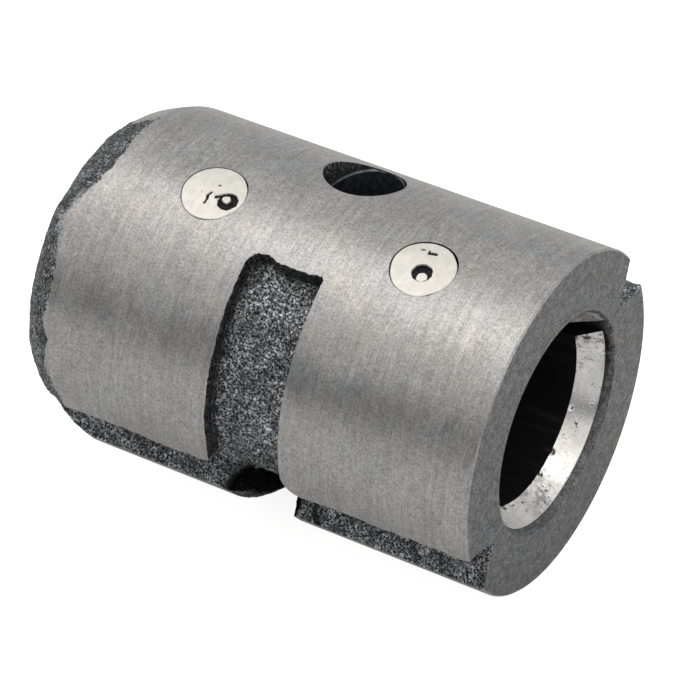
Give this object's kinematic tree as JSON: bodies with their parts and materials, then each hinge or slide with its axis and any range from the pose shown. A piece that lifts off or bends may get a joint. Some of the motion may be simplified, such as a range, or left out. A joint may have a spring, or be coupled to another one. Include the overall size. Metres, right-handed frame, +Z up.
{
  "type": "split bearing sleeve",
  "caption": "Split cast-iron bearing sleeve in two halves with a white-metal lining, anchor plugs, a cross hole, a cast slot and notched joint lines.",
  "frame": {"origin": "middle of the bore, on its axis, half way between the end faces", "axes": "+X along the bore axis and out of the machined front face, +Z up as the sleeve lies on a bench with its slot towards -Y; the joint plane is rolled 28 degrees about X from level"},
  "size_m": [0.0694, 0.0476, 0.0476],
  "materials": {
    "shell_iron": "machined seat and end face, rough as-cast slot, notches and rear rim",
    "lining_metal": "bored white metal with small pits",
    "plug_metal": "dull cream-white metal, turned flush, with shrinkage holes"
  },
  "bodies": {
    "lower_half": {"lower_shell": "shell_iron", "lower_lining": "lining_metal", "lower_front_anchor_plug": "plug_metal", "lower_rear_anchor_plug": "plug_metal"},
    "upper_half": {"upper_shell": "shell_iron", "upper_lining": "lining_metal", "upper_front_anchor_plug": "plug_metal", "upper_rear_anchor_plug": "plug_metal"}
  },
  "joints": [
    {"name": "upper_half_lift", "type": "slide", "parent": "lower_half", "child": "upper_half", "axis": [0, -0.4695, 0.8829], "range_m": [0, 0.04]}
  ]
}
